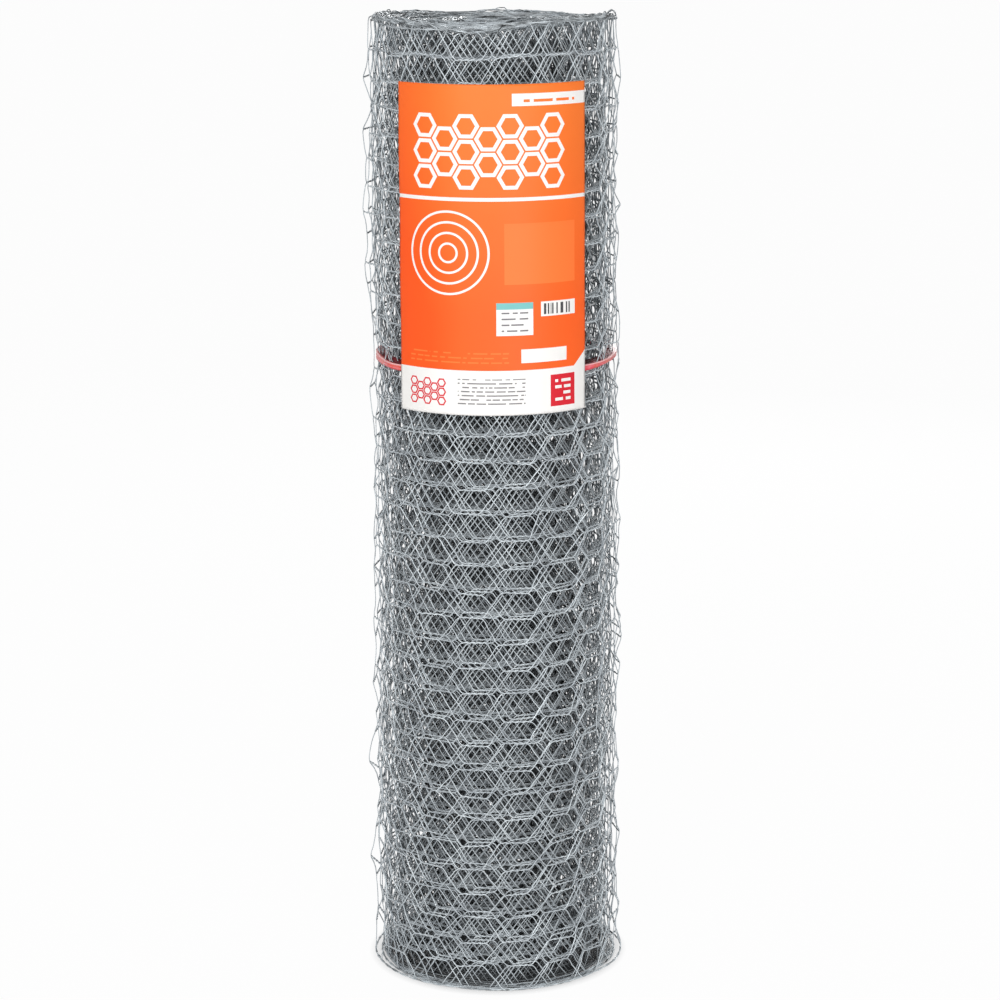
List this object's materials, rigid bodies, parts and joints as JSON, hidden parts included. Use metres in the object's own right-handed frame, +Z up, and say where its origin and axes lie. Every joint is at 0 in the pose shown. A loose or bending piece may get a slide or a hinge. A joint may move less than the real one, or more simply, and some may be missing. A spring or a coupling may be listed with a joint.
{
  "type": "roll of wire mesh",
  "caption": "Tall roll of galvanised hexagonal wire netting standing on its end, wound round a hollow core, with a printed label card held by a plastic tie.",
  "frame": {"origin": "on the winding axis, in the plane of the lower end, where the roll stands on the floor", "axes": "+Z up along the winding axis, -Y towards the middle of the label card, +X to the right of someone who faces the label"},
  "size_m": [0.391, 0.3906, 1.5],
  "materials": {
    "zinc_wire": "satin",
    "tie_film": "gloss",
    "card_print": "satin"
  },
  "bodies": {
    "root": {"mesh_roll": "zinc_wire", "tie_band": "tie_film", "label_card": "card_print"}
  },
  "joints": []
}
